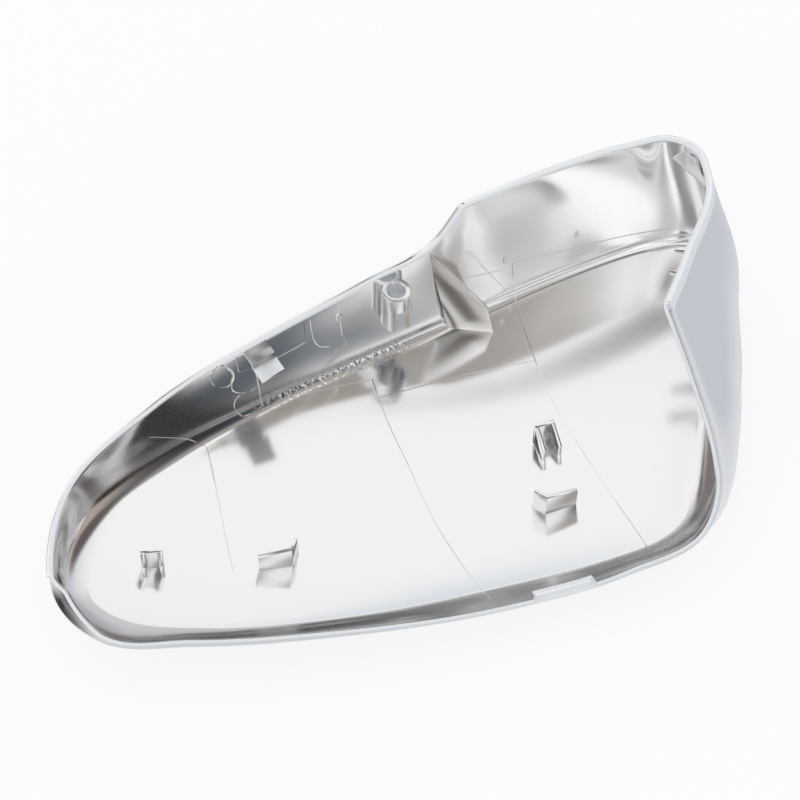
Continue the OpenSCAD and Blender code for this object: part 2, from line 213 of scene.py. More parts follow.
# What the plating mirrors: a white ceiling, and patches on it, later ones over earlier ones. Each has its
# azimuth from +X and its angle from straight up, the radii where it is whole and where it ends, all in
# degrees, and its colour.
CEILING = (0.955, 0.955, 0.95)
STUDIO = [
    (-91, 90, 12, 38, (0.1, 0.09, 0.085)),
    (-27, 51, 12, 25, (0.13, 0.094, 0.076)),
    (-36, 53, 16, 25, (0.08, 0.1, 0.12)),
    (-44, 76, 9, 25, (0.03, 0.03, 0.033)),
    (-119, 44, 4, 27, (0.53, 0.5, 0.46)),
    (-98, 69, 8, 15, (0.2, 0.18, 0.17)),
    (80, 8, 14, 19.5, (0.19, 0.175, 0.16)),
    (-32, 30, 5, 22, (0.36, 0.325, 0.29)),
    (48, 70, 8, 14, (0.035, 0.038, 0.05)),
    (161, 84, 11, 18, (0.47, 0.45, 0.41)),
    (134, 79, 9, 16, (0.28, 0.29, 0.31)),
    (-144, 76, 5, 23, (0.68, 0.69, 0.69)),
    (31, 92, 24, 60, (0.56, 0.58, 0.62)),
    (-13, 80, 6, 33, (0.43, 0.35, 0.31)),
    (-176, 86, 13, 20, (1.25, 1.25, 1.22)),
    (-135, 49, 4, 14, (0.3, 0.3, 0.29)),
    (-147, 69, 4, 14, (0.5, 0.5, 0.5)),
    (154, 93, 10, 19, (0.49, 0.44, 0.395)),
    (5, 53, 8, 18, (0.12, 0.1, 0.09)),
    (-117, 37, 4, 9, (0.12, 0.11, 0.1)),
    (-84, 42, 5, 11, (1, 1.02, 1.05)),
    (109, 33, 6, 12, (0.03, 0.03, 0.035)),
    (110, 63, 5, 10, (0.06, 0.05, 0.045)),
    (-33, 84, 5, 12, (0.04, 0.035, 0.033)),
    (-168, 51, 6, 12, (0.3, 0.3, 0.3)),
    (-112, 80, 6, 14, (0.22, 0.22, 0.23)),
    (112, 50, 3, 7, (0.2, 0.17, 0.15)),
    (70, 48, 1, 4, (0.66, 0.72, 0.79)),
]
# The floor as only the plating mirrors it, with painted light: painted shade in grey tones at two distances
# from the middle, in metres, and a painted glow, brighter than white, on the tip's side, with the x and y
# over which it comes
MIRRORED_FLOOR_SHADE = [(0.1, (0.8, 0.81, 0.83)), (0.18, (0.58, 0.6, 0.65))]
GLOW, GLOW_X, GLOW_Y = (1.25, 1.25, 1.22), (-0.13, -0.18), (0.125, 0.09)
# The share of its own white that the camera sees on the floor, the rest being lit paper
FLOOR_WHITE = 0.8
CAMERA_AZIMUTH, CAMERA_ELEVATION = math.radians(-20), math.radians(58)
CAMERA_LENS, CAMERA_SENSOR, CAMERA_AIM = 101.25, 36, (127, 97, 0)


# The shell's shape

def ramp(x, low, high):
    """A smooth share from 0 at low to 1 at high."""
    t = np.clip((x - low) / (high - low), 0, 1)
    return t * t * (3 - 2 * t)


def raised(x, start, full, fade, end):
    """A smooth share that rises from start to full and falls again from fade to end."""
    return ramp(x, start, full) * (1 - ramp(x, fade, end))


def hermite(a, b, leaving, arriving, t):
    """Points at shares t of curves from a to b that leave and arrive with the given slopes."""
    return (a * (2 * t ** 3 - 3 * t ** 2 + 1) + b * (3 * t ** 2 - 2 * t ** 3)
            + leaving * (t ** 3 - 2 * t ** 2 + t) + arriving * (t ** 3 - t ** 2))


def guide_rows():
    rows = np.array(OUTLINE, float)
    scale = [COVER_L / 100, COVER_W / 100, COVER_L / 100, COVER_W / 100, COVER_H / 100, 1]
    return rows[:, :6] * np.array(scale)


def guide_at(u):
    """The guide values at u, where whole numbers of u are the rows."""
    rows = guide_rows()
    count = len(rows)
    span = np.linalg.norm(np.roll(rows, -1, 0) - rows, axis=1)[:, None]
    chord = (np.roll(rows, -1, 0) - rows) / span
    before = np.roll(span, 1, 0)
    slope = (chord * before + np.roll(chord, 1, 0) * span) / (span + before)
    leaving, arriving = slope.copy(), slope.copy()
    for i, row in enumerate(OUTLINE):
        if row[6]:
            leaving[i, 2:5] = chord[i, 2:5]
            arriving[i, 2:5] = chord[i - 1, 2:5]
    i = np.floor(u).astype(int) % count
    t = (u - np.floor(u))[:, None]
    j = (i + 1) % count
    return hermite(rows[i], rows[j], leaving[i] * span[i], arriving[j] * span[i], t)


def softened(values, gap, reach):
    """Values round the closed outline, each column blurred over its own reach in mm."""
    count = len(values)
    steps = np.minimum(np.arange(count), count - np.arange(count)) * gap
    out = np.empty_like(values)
    for k, r in enumerate(reach):
        weight = np.exp(-0.5 * (steps / r) ** 2)
        out[:, k] = np.fft.irfft(np.fft.rfft(values[:, k]) * np.fft.rfft(weight / weight.sum()), count)
    return out


class Outline:
    """The guide values as smooth tables along the outline."""

    def __init__(self, reach):
        fine = np.linspace(0, len(OUTLINE), len(OUTLINE) * FINE_STEPS, endpoint=False)
        rough = guide_at(fine)
        middle = (rough[:, :2] + rough[:, 2:4]) / 2
        step = np.linalg.norm(np.roll(middle, -1, 0) - middle, axis=1)
        along = np.concatenate([[0], np.cumsum(step)])
        self.length = along[-1]
        self.places = np.linspace(0, self.length, TABLE_STEPS, endpoint=False)
        self.u = np.interp(self.places, along, np.append(fine, len(OUTLINE)))
        even = guide_at(self.u)
        self.values = softened(even, self.length / TABLE_STEPS, reach)

    def at(self, u):
        """Guide values and the outward direction at each u."""
        u = np.asarray(u, float) % len(OUTLINE)
        wrap_u = np.concatenate([self.u[-2:] - len(OUTLINE), self.u, self.u[:2] + len(OUTLINE)])
        wrapped = np.concatenate([self.values[-2:], self.values, self.values[:2]])
        feet = self.values[:, :2]
        heading = np.roll(feet, -HEADING_STEPS, 0) - np.roll(feet, HEADING_STEPS, 0)
        heading = np.concatenate([heading[-2:], heading, heading[:2]])
        g = np.stack([np.interp(u, wrap_u, wrapped[:, k]) for k in range(6)], -1)
        h = np.stack([np.interp(u, wrap_u, heading[:, k]) for k in range(2)], -1)
        h /= np.linalg.norm(h, axis=1)[:, None]
        out = np.stack([-h[:, 1], h[:, 0], np.zeros(len(u))], -1)
        return g, out


def on_face(xy, wall):
    """Points on the main face's inside at the given x and y, in mm."""
    xy = np.asarray(xy, float)
    x, y = xy[..., 0] - TOUCH[0], xy[..., 1] - TOUCH[1]
    z = wall + x ** 2 / (2 * FACE_RX) + y ** 2 / (2 * FACE_RY) - y ** 3 / (6 * FACE_RY * FACE_FLAT)
    return np.concatenate([xy, z[..., None]], -1)


def with_rise(points):
    """Face points lifted by the soft rise where two inserts of the mould meet."""
    line = np.array(RISE_LINE, float)
    x, y = points[:, 0], points[:, 1]
    middle = np.interp(x, line[:, 0], line[:, 1])
    lifted = points.copy()
    lifted[:, 2] += RISE_H * raised(x, *RISE_ENDS) * ramp(y, middle - RISE_REACH, middle + RISE_REACH)
    return lifted


class Surface:
    """The inner skin of the shell as a function of u round the outline and s up the wall."""

    def __init__(self, reach, wall):
        self.outline = Outline(reach)
        self.wall = wall

    def ends(self, u):
        """The wall's foot, rim, bulge and outward direction at each u."""
        g, out = self.outline.at(u)
        return on_face(g[:, :2], self.wall), g[:, 2:5], g[:, 5:6], out

    def height(self, u):
        foot, rim, _, _ = self.ends(u)
        return np.linalg.norm(rim - foot, axis=1)

    def wall_points(self, u, s):
        """Points for stations u and a table of shares s of the same first length."""
        foot, rim, bulge, out = self.ends(u)
        s = s[..., None]
        return (foot[:, None] + (rim - foot)[:, None] * s
                + out[:, None] * bulge[:, None] * BULGE_GAIN * s * (1 - s) ** 2)

    def standing_in(self, u):
        """How far the lip stands in from the wall at each u, round the tip."""
        return TIP_GAP * ramp(REBATE[1] - u, 0, GAP_GOES) * ramp(u, GAP_FROM, GAP_FROM + GAP_COMES)

    def stepped(self, u):
        """1 where the rim is stepped and 0 where it is plain."""
        comes, goes = (self.run_at(end, STEP_RUN) for end in REBATE)
        return raised(u, REBATE[0], REBATE[0] + comes, REBATE[1] - goes, REBATE[1])

    def notched(self, u):
        """1 inside the notch of the low wall's lip and 0 outside it."""
        half, run = self.run_at(NOTCH_AT, NOTCH_L / 2), self.run_at(NOTCH_AT, STEP_RUN)
        start, end = NOTCH_AT - half, NOTCH_AT + half
        return raised(u, start, start + run, end - run, end)

    def run_at(self, u, mm):
        """The change of u that goes with mm along the outline."""
        table = self.outline.u
        i = np.searchsorted(table, u % len(OUTLINE))
        change = table[(i + RUN_STEPS) % len(table)] - table[i]
        return mm * change / (RUN_STEPS * self.outline.length / len(table))

    def skin_points(self, u, s):
        """Points of the wall's inside where it leans in round the tip and at the notch."""
        out = self.outline.at(u)[1]
        inward = self.standing_in(u)[:, None] * ramp(s, *GAP_LEAN)
        inward = inward + NOTCH_IN * self.notched(u)[:, None] * ramp(s, *NOTCH_LEAN)
        return self.wall_points(u, s) - out[:, None] * inward[..., None]

    def point(self, u, s):
        """One point of the wall."""
        return self.wall_points(np.array([u]), np.array([[s]]))[0, 0]

    def direction_out(self, u):
        return self.outline.at(np.array([u]))[1][0]

    def rings(self, u, face_rings, bend_rings, wall_rings, with_gap):
        """The inner skin from near the face's middle to the rim, with or without the lip's gap."""
        foot, rim, _, _ = self.ends(u)
        tall = self.height(u)
        touch = np.array(TOUCH)
        run = np.linalg.norm(foot[:, :2] - touch, axis=1)[:, None]
        corner = CORNER_RUN + (LOW_CORNER_RUN - CORNER_RUN) * raised(u, *LOW_CORNER_ROWS)
        bend_a = on_face(foot[:, :2] + (touch - foot[:, :2]) * corner[:, None] / run, self.wall)
        s0 = corner / tall
        s1 = 1 - EDGE_FOOT / tall
        pair = self.wall_points(u, np.stack([s0, s0 * 1.1], -1))
        bend_b = pair[:, 0]
        rise = pair[:, 1] - pair[:, 0]
        rise /= np.linalg.norm(rise, axis=1)[:, None]
        pull_a = bend_a + (foot - bend_a) * 2 / 3
        pull_b = bend_b - rise * corner[:, None] * 2 / 3
        rings = []
        for k in range(1, face_rings + 1):
            share = (k / face_rings) ** FACE_SPREAD
            ring = on_face(touch + (bend_a[:, :2] - touch) * share, self.wall)
            rings.append(with_rise(ring) if with_gap else ring)
        if with_gap:
            bend_a, pull_a = with_rise(bend_a), with_rise(pull_a)
        for k in range(1, bend_rings + 1):
            t = k / bend_rings
            rings.append(bend_a * (1 - t) ** 3 + pull_a * 3 * t * (1 - t) ** 2
                         + pull_b * 3 * t ** 2 * (1 - t) + bend_b * t ** 3)
        up = np.linspace(0, 1, wall_rings + 1)[1:]
        skin = self.skin_points if with_gap else self.wall_points
        walls = skin(u, s0[:, None] + (s1 - s0)[:, None] * up)
        rings += [walls[:, k] for k in range(wall_rings)]
        rings.append(rim)
        return np.stack(rings, 1)


def skin_normals(rings):
    """Outward normals of a ring table: stations first, rings second."""
    up = np.empty_like(rings)
    up[:, 1:-1] = rings[:, 2:] - rings[:, :-2]
    up[:, 0] = rings[:, 1] - rings[:, 0]
    up[:, -1] = rings[:, -1] - rings[:, -2]
    along = np.roll(rings, -1, 0) - np.roll(rings, 1, 0)
    n = np.cross(up, along)
    return n / np.linalg.norm(n, axis=-1, keepdims=True)


def to_part(points):
    """Millimetres from the tip's corner to metres in the part's frame."""
    return (np.asarray(points, float) - np.array([MIDDLE[0], MIDDLE[1], 0])) * MM


# Mesh helpers

def in_mm(point):
    """A point in mm from the tip's corner as a vector in mm in the part's frame."""
    return Vector(to_part(point)) / MM


def finished(name, bm, material, smooth_angle=math.radians(40)):
    """Turns a bmesh into a piece of the cover that stays with the body."""
    bmesh.ops.remove_doubles(bm, verts=bm.verts, dist=1e-7)
    bmesh.ops.recalc_face_normals(bm, faces=bm.faces)
    mesh = bpy.data.meshes.new(name)
    bm.to_mesh(mesh)
    bm.free()
    piece = bpy.data.objects.new(name, mesh)
    bpy.context.scene.collection.objects.link(piece)
    mesh.materials.append(material)
    mesh.shade_smooth()
    mesh.set_sharp_from_angle(angle=smooth_angle)
    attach(piece, BODY)
    return piece


def only(kind, geometry):
    """The vertices or the edges among what an operator returns."""
    return [item for item in geometry if isinstance(item, kind)]


def extruded(bm, loops, tag):
    """Lays loops of points on rings extruded one from the next, from the boundary that is there."""
    place = bm.verts.layers.int[tag]
    edges = [e for e in bm.edges if e.is_boundary]
    for loop in loops:
        made = bmesh.ops.extrude_edge_only(bm, edges=edges)["geom"]
        for v in only(bmesh.types.BMVert, made):
            v.co = Vector(loop[v[place]])
        edges = only(bmesh.types.BMEdge, made)
    return edges


def pushed(bm, corners, way):
    """Adds a plate: the outline through the corners, pushed along the way."""
    face = bm.faces.new([bm.verts.new(corner) for corner in corners])
    moved = bmesh.ops.extrude_face_region(bm, geom=[face])["geom"]
    bmesh.ops.translate(bm, verts=only(bmesh.types.BMVert, moved), vec=way)


def rounded(bm, edges, radius=EDGE_ROUND):
    bmesh.ops.bevel(bm, geom=edges, offset=radius, offset_type="OFFSET", segments=2, profile=0.5,
                    affect="EDGES", clamp_overlap=True, material=-1)


def slab(bm, outline, width, place):
    """Adds a plate with its outline in y and z, centred on x, its edges rounded."""
    before = set(bm.verts)
    pushed(bm, [(-width / 2, y, z) for y, z in outline], (width, 0, 0))
    bmesh.ops.recalc_face_normals(bm, faces=[f for f in bm.faces if f.verts[0] not in before])
    rounded(bm, [e for e in bm.edges if e.verts[0] not in before])
    bmesh.ops.transform(bm, matrix=place, verts=[v for v in bm.verts if v not in before])


def floor_place(surface, at, turn=0.0):
    """A place on the main face, turned by so many degrees."""
    spot = on_face(np.array([at[0] * COVER_L / 100, at[1] * COVER_W / 100]), surface.wall)
    return Matrix.Translation(in_mm(spot)) @ Matrix.Rotation(math.radians(turn), 4, "Z")


def wall_place(surface, at):
    """x runs along the wall, y out through it and z up it."""
    u, s = at
    along = Vector(surface.point(u + 0.02, s) - surface.point(u - 0.02, s))
    z = Vector(surface.point(u, s + 0.05) - surface.point(u, s - 0.05)).normalized()
    y = z.cross(along).normalized()
    x = y.cross(z)
    turn = Matrix((x, y, z)).transposed().to_4x4()
    return Matrix.Translation(in_mm(surface.point(u, s))) @ turn


def in_wall(surface, at):
    """A point a little under the wall's inner skin, where a plate's edge is sunk."""
    u, s = at
    return in_mm(surface.point(u, s) + surface.direction_out(u) * WALL_SUNK)


def marked(bm, rule):
    """Marks each face with the satin share and the share of softness and painted shade that the rule gives
    for it.
    """
    satin, soft_and_shaded = bm.faces.layers.float.new("satin"), bm.faces.layers.float.new("soft_and_shaded")
    bm.normal_update()
    for face in bm.faces:
        face[satin], face[soft_and_shaded] = rule(face)


def in_metres(bm):
    bmesh.ops.scale(bm, vec=(MM, MM, MM), verts=bm.verts)


# Materials

class Tree:
    """Adds nodes to the owner's node tree. An input takes a value or another node's output."""

    def __init__(self, owner, emptied=False):
        owner.use_nodes = True
        self.nodes, self.links = owner.node_tree.nodes, owner.node_tree.links
        if emptied:
            self.nodes.clear()

    def feed(self, socket, value):
        if isinstance(value, bpy.types.NodeSocket):
            self.links.new(value, socket)
        else:
            socket.default_value = value

    def add(self, kind, inputs, result=0, **settings):
        """Adds a node and gives its named or numbered output."""
        node = self.nodes.new(kind)
        for key, value in settings.items():
            setattr(node, key, value)
        for key, value in inputs.items():
            self.feed(node.inputs[key], value)
        return node.outputs[result] if len(node.outputs) else node

    def math(self, operation, *values):
        return self.add("ShaderNodeMath", dict(enumerate(values)), operation=operation)

    def attribute(self, name):
        return self.add("ShaderNodeAttribute", {}, "Fac", attribute_name=name)

    def noise(self, place, scale, detail):
        return self.add("ShaderNodeTexNoise", {"Vector": place, "Scale": scale, "Detail": detail}, "Fac")

    def colours(self, share, a, b):
        """Mixes two colours."""
        return self.add("ShaderNodeMix", {"Factor": share, "A": a, "B": b}, "Result", data_type="RGBA")

    def shaders(self, share, a, b):
        """Mixes two shaders."""
        return self.add("ShaderNodeMixShader", {"Fac": share, 1: a, 2: b})

    def smooth_range(self, value, low, high):
        return self.add("ShaderNodeMapRange", {"Value": value, "From Min": low, "From Max": high},
                        interpolation_type="SMOOTHSTEP")


def chrome(name, waves=0.0, satin_faces=False):
    """Bright plating over a faint waviness of the moulding, and satin, or softer and darkened with painted
    shade, where the mesh is marked so.
    """
    material = bpy.data.materials.new(name)
    tree = Tree(material)
    shader = tree.nodes["Principled BSDF"]
    shader.inputs["Base Color"].default_value = (*look().plating, 1)
    shader.inputs["Metallic"].default_value = 1
    shader.inputs["Roughness"].default_value = look().roughness
    place = tree.add("ShaderNodeTexCoord", {}, "Object")
    bump = tree.add("ShaderNodeBump", {"Strength": WAVE_STRENGTH + waves, "Distance": WAVE_DEPTH,
                                       "Height": tree.noise(place, WAVE_SCALE, 2)})
    if waves:
        bump = tree.add("ShaderNodeBump", {"Strength": tree.attribute("crinkle"), "Distance": CRINKLE_DEPTH,
                                           "Height": tree.noise(place, CRINKLE_SCALE, 3), "Normal": bump})
    if satin_faces:
        add_satin(tree, shader)
    tree.feed(shader.inputs["Normal"], bump)
    return material


def add_satin(tree, shader):
    """Makes marked faces satin, and softer in what they mirror and darkened with painted shade."""
    satin, soft_and_shaded = tree.attribute("satin"), tree.attribute("soft_and_shaded")
    spans = [tree.add("ShaderNodeMapRange", {"Value": satin, "To Min": mirror, "To Max": matt})
             for mirror, matt in ((look().roughness, SATIN_ROUGHNESS), (1, SATIN_METALLIC))]
    # Painted shade: a dark tone mixed into the plating's colour as the softness mark rises
    painted_shade = tree.add("ShaderNodeMapRange", {"Value": soft_and_shaded, "From Min": PAINTED_SHADE_FROM, "From Max": PAINTED_SHADE_TO})
    tone = tree.colours(painted_shade, (*look().plating, 1), (*look().painted_shade, 1))
    tree.feed(shader.inputs["Roughness"], tree.math("MULTIPLY_ADD", soft_and_shaded, SOFT_ROUGHNESS, spans[0]))
    tree.feed(shader.inputs["Metallic"], spans[1])
    tree.feed(shader.inputs["Base Color"], tree.colours(satin, tone, (*look().rim, 1)))


# Settings

class CoverSizes(bpy.types.PropertyGroup):
    wall: FloatProperty(name="Wall", description="Thickness of the moulded wall in millimetres", default=2.5,
                        min=2, max=3.2)
    stations: IntProperty(name="Stations", description="Steps round the outline", default=760, min=200,
                          max=1000)
    plate: FloatProperty(name="Plate", description="Thickness of the clips' plates in millimetres",
                         default=1.3, min=1, max=1.6)
    socket_w: FloatProperty(name="Socket width", description="Width of the clip sockets in millimetres",
                            default=6.8)
    socket_h: FloatProperty(name="Socket height", description="Height of the clip sockets in millimetres",
                            default=10)
    boss_d: FloatProperty(name="Boss", description="Diameter of the locating boss in millimetres",
                          default=9.6)
    boss_h: FloatProperty(name="Boss height", description="Height of the locating boss in millimetres",
                          default=17)
    hole_d: FloatProperty(name="Hole", description="Diameter of the locating hole in millimetres", default=6)
    hole_h: FloatProperty(name="Hole depth", description="Depth of the locating hole in millimetres",
                          default=5)


class CoverLook(bpy.types.PropertyGroup):
    plating: FloatVectorProperty(name="Plating", description="Colour of the chrome plating", subtype="COLOR",
                                 size=3, default=(0.93, 0.93, 0.935), min=0, max=1)
    # Painted shade: the dark tone mixed into the plating in the groove round the tip, on the low wall's
    # inside and on some clip faces
    painted_shade: FloatVectorProperty(name="Painted shade", subtype="COLOR", size=3, default=(0.28, 0.27, 0.27),
                              description="Colour of the groove round the tip, and partly of the low wall",
                              min=0, max=1)
    rim: FloatVectorProperty(name="Satin rim", description="Colour of the rim's narrow faces",
                             subtype="COLOR", size=3, default=(0.82, 0.86, 0.9), min=0, max=1)
    roughness: FloatProperty(name="Roughness", description="Roughness of the plating", default=0.11, min=0,
                             max=1)
    floor: FloatVectorProperty(name="Floor", description="Colour of the studio floor", subtype="COLOR",
                               size=3, default=(0.9, 0.9, 0.9), min=0, max=1)
    distance: FloatProperty(name="Camera distance", description="Distance of the camera", default=0.75,
                            subtype="DISTANCE", unit="LENGTH")


def sizes():
    return bpy.context.scene.cover_sizes


def look():
    return bpy.context.scene.cover_look


def inner_surface():
    return Surface(SKIN_REACH, sizes().wall)


# Operators, one for each piece or group of like pieces and one for the stage

class COVER_OT_shell(bpy.types.Operator):
    """Build the shell with its walls, stepped rim and notch"""
    bl_idname = "cover.shell"
    bl_label = "Shell"

    def execute(self, context):
        wall = sizes().wall
        surface = inner_surface()
        us = self.stations(surface)
        inner = surface.rings(us, *RINGS, True)
        even = surface.rings(us, *RINGS, False)
        normals = skin_normals(Surface(NORMAL_REACH, wall).rings(us, *RINGS, False))
        last = inner.shape[1] - 1
        stepped = surface.stepped(us)
        grooved = surface.standing_in(us) / TIP_GAP * stepped
        edge = self.edge_loops(surface, us, normals[:, last - 1:], stepped, grooved)
        outer = even + normals * wall
        loops = [inner[:, k] for k in range(last)] + edge + [outer[:, k] for k in range(last - 1, -1, -2)]
        loops = [to_part(loop) for loop in loops]

        bm = bmesh.new()
        tag = bm.verts.layers.int.new("station")
        layers = [bm.verts.layers.float.new(name) for name in ("crinkle", "satin", "soft_and_shaded")]
        hub, ring = self.first_ring(bm, len(us))
        hub.co = Vector(to_part(on_face(np.array(TOUCH), wall)))
        for i, v in enumerate(ring):
            v[tag] = i
            v.co = Vector(loops[0][i])
        edges = extruded(bm, loops[1:], "station")
        cap = bmesh.ops.edgeloop_fill(bm, edges=edges)["faces"]
        poked = bmesh.ops.poke(bm, faces=cap)
        poked["verts"][0].co = Vector(to_part(on_face(np.array(TOUCH), wall) - np.array([0, 0, wall])))

        bm.verts.index_update()
        low = raised(us, *LOW_CORNER_ROWS)
        for v in bm.verts:
            i, row = v[tag], (v.index - 1) // len(us)
            v[layers[0]] = self.crinkle(v.co, us[i], surface)
            v[layers[1]] = self.satin(row - last, grooved[i])
            v[layers[2]] = self.soft_and_shaded(row, last, low[i], grooved[i])
        piece = finished("cover_shell", bm, chrome("chrome_shell", SHELL_WAVES, True), math.radians(50))
        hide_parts("mirror_cover")
        return {"FINISHED"}

    def stations(self, surface):
        """Even steps round the outline, with the ends of the rebate and of the notch among them."""
        outline, run_at = surface.outline, surface.run_at
        steps = np.linspace(0, outline.length, sizes().stations, endpoint=False)
        us = np.interp(steps, outline.places, outline.u)
        half = run_at(NOTCH_AT, NOTCH_L / 2)
        marks = [REBATE[0], REBATE[1] - run_at(REBATE[1], STEP_RUN), NOTCH_AT - half,
                 NOTCH_AT + half - run_at(NOTCH_AT, STEP_RUN)]
        extra = [m + run_at(m, STEP_RUN) * k / 2 for m in marks for k in range(3)]
        keep = np.array([min(abs(u - e) for e in extra) > 0.01 for u in us])
        return np.sort(np.concatenate([us[keep], extra]))

    def edge_loops(self, surface, us, normals, stepped, grooved):
        """The loops over the rim, from the wall's inside to its outside."""
        wall, tall, notched = surface.wall, surface.height(us), surface.notched(us)
        loops = []
        for (a0, h0), (a1, h1), dip in zip(PLAIN_EDGE, STEPPED_EDGE, TIP_GROOVE):
            across = a0 + (a1 - a0) * stepped
            down = h0 + (h1 - h0) * stepped
            down = down + notched * NOTCH_DROP * np.clip(1 - down / NOTCH_FADE, 0, 1) + dip * grooved
            share = (1 - down / tall)[:, None]
            near = surface.skin_points(us, share)[:, 0]
            t = (down / EDGE_FOOT)[:, None]
            out = normals[:, 1] * (1 - t) + normals[:, 0] * t
            way = surface.wall_points(us, share)[:, 0] + out * wall - near
            thick = np.linalg.norm(way, axis=1)
            past = np.clip((across - LIP_SHARE) / (1 - LIP_SHARE), 0, 1)
            reach = np.minimum(across, LIP_SHARE) * wall + past * (thick - wall * LIP_SHARE)
            loops.append(near + way * (reach / thick)[:, None])
        return loops

    def first_ring(self, bm, count):
        """The disc in the middle of the main face: its hub, and its boundary in order."""
        bmesh.ops.create_circle(bm, cap_ends=True, cap_tris=True, segments=count, radius=1)
        hub = max(bm.verts, key=lambda v: len(v.link_edges))
        ring, previous = [next(v for v in bm.verts if v is not hub)], None
        while len(ring) < count:
            here = ring[-1]
            for edge in here.link_edges:
                other = edge.other_vert(here)
                if edge.is_boundary and other is not previous:
                    previous = here
                    ring.append(other)
                    break
        return hub, ring

    def crinkle(self, spot, u, surface):
        """How crinkled the plating is, in a band along the tall wall's foot."""
        if not CRINKLE_ROWS[0] < u < CRINKLE_ROWS[-1]:
            return 0.0
        away = (spot - Vector(to_part(surface.point(u, 0.0)))).length / MM
        return float(CRINKLE * raised(u, *CRINKLE_ROWS) * (1 - ramp(away, *CRINKLE_FADE)))

    def satin(self, point, grooved):
        """1 on the rim's narrow faces, but for the step's riser and the groove round the tip."""
        if not NARROW_POINTS[0] <= point <= NARROW_POINTS[1]:
            return 0.0
        if point < RISER_POINTS[0]:
            return 1.0
        return 0.0 if point <= RISER_POINTS[1] else 1.0 - float(grooved)

    def soft_and_shaded(self, row, last, low, grooved):
        """How softly a row of the skin mirrors and how far painted shade darkens it: the low wall's inside
        and the groove most.
        """
        first = RINGS[0]
        if row <= first:
            return FACE_SOFT
        if row <= last + INSIDE_POINT:
            return float(max(low, FACE_SOFT * (1 - (row - first) / RINGS[1])))
        in_groove = GROOVE_POINTS[0] <= row - last <= GROOVE_POINTS[1]
        return GROOVE_SOFT_AND_SHADE * float(grooved) if in_groove else 0.0


class COVER_OT_sockets(bpy.types.Operator):
    """Build the two clip sockets on the main face"""
    bl_idname = "cover.sockets"
    bl_label = "Clip sockets"

    def execute(self, context):
        surface = inner_surface()
        metal = chrome("chrome_clips", satin_faces=True)
        for name, at, turn, depth, front in SOCKETS:
            bm = bmesh.new()
            place = floor_place(surface, at, turn)
            self.build(bm, place, depth, front)
            back = place.inverted()
            marked(bm, lambda face: self.shares(back @ face.calc_center_median(),
                                                back.to_3x3() @ face.normal))
            in_metres(bm)
            finished(name, bm, metal)
        return {"FINISHED"}

    def build(self, bm, place, depth, front):
        """A back plate across the socket, and a cheek at each side that runs into it."""
        s = sizes()
        slab(bm, [(0, -SUNK), (s.plate, -SUNK), (s.plate, s.socket_h), (0, s.socket_h)], s.socket_w, place)
        cheek = [(s.plate * 0.6, 0.1 - SUNK), (-depth, 0.1 - SUNK), (-depth, s.socket_h * front),
                 (0, s.socket_h - 0.05), (s.plate * 0.6, s.socket_h - 0.05)]
        for side in (-1, 1):
            shift = Matrix.Translation((side * ((s.socket_w - s.plate) / 2 - 0.02), 0, 0))
            slab(bm, cheek, s.plate, place @ shift)

    def shares(self, middle, facing):
        """The back plate's face is a little satin, and the right cheek's inner face mirrors softly and is
        darkened with painted shade.
        """
        s = sizes()
        plate = facing.y < -0.7 and abs(middle.x) < s.socket_w / 2 - s.plate and middle.y > -s.plate
        return 0.2 if plate else 0.0, 1.6 if facing.x < -0.7 and middle.x > 0 else 0.0


class COVER_OT_guides(bpy.types.Operator):
    """Build the two angled guides on the main face"""
    bl_idname = "cover.guides"
    bl_label = "Angled guides"

    def execute(self, context):
        surface = inner_surface()
        metal = chrome("chrome_guides", satin_faces=True)
        for name, at, turn, back_l, bend, side in GUIDES:
            bm = bmesh.new()
            pushed(bm, [(x, y * side, -SUNK) for x, y in self.plan(back_l, math.radians(bend))],
                   (0, 0, GUIDE_H + SUNK))
            for v in bm.verts:
                if v.co.z > 0:
                    v.co.z -= GUIDE_FALL * max(0.0, v.co.x) + GUIDE_BACK_FALL * max(0.0, -v.co.x)
            bmesh.ops.recalc_face_normals(bm, faces=bm.faces)
            rounded(bm, bm.edges[:])
            bmesh.ops.transform(bm, matrix=floor_place(surface, at, turn), verts=bm.verts)
            marked(bm, lambda face: (0.12, 0.0))
            in_metres(bm)
            finished(name, bm, metal)
        return {"FINISHED"}

    def plan(self, back_l, bend):
        """The outline seen from above: one plate along x and one that leaves it at the bend's angle."""
        plate = sizes().plate
        back = Vector((math.cos(bend), math.sin(bend)))
        out = Vector((-math.sin(bend), math.cos(bend))) * plate
        mitre = -Vector((math.cos(bend / 2), math.sin(bend / 2))) * plate / math.sin(bend / 2)
        return [(0, 0), (GUIDE_L, 0), (GUIDE_L, -plate), mitre, back * back_l + out, back * back_l]


class COVER_OT_tongue(bpy.types.Operator):
    """Build the stepped catch tongue under the tall wall's rim"""
    bl_idname = "cover.tongue"
    bl_label = "Catch tongue"

    def execute(self, context):
        plate = sizes().plate
        bm = bmesh.new()
        place = wall_place(inner_surface(), TONGUE_AT)
        near, low = -TONGUE_STEP_AT, -TONGUE_STEP
        slab(bm, [(SUNK, 0), (near, 0), (near, low), (-TONGUE_L, low), (-TONGUE_L, low - plate),
                  (near + plate, low - plate), (near + plate, -plate), (SUNK, -plate)], TONGUE_W, place)
        back = place.inverted()
        marked(bm, lambda face: self.shares(back @ face.calc_center_median(), back.to_3x3() @ face.normal))
        in_metres(bm)
        finished("catch_tongue", bm, chrome("chrome_tongue", satin_faces=True))
        return {"FINISHED"}

    def shares(self, middle, facing):
        """The underside and the lower plate's top are satin; the upper plate and the step mirror softly and
        are darkened with painted shade.
        """
        upper = facing.z > 0.5 and middle.y > -TONGUE_STEP_AT
        step = facing.y < -0.5 and middle.y > -TONGUE_STEP_AT - 1
        satin = 1.0 if facing.z < -0.5 else 0.7 if facing.z > 0.5 and not upper else 0.0
        return satin, 1.4 if upper or step else 0.0


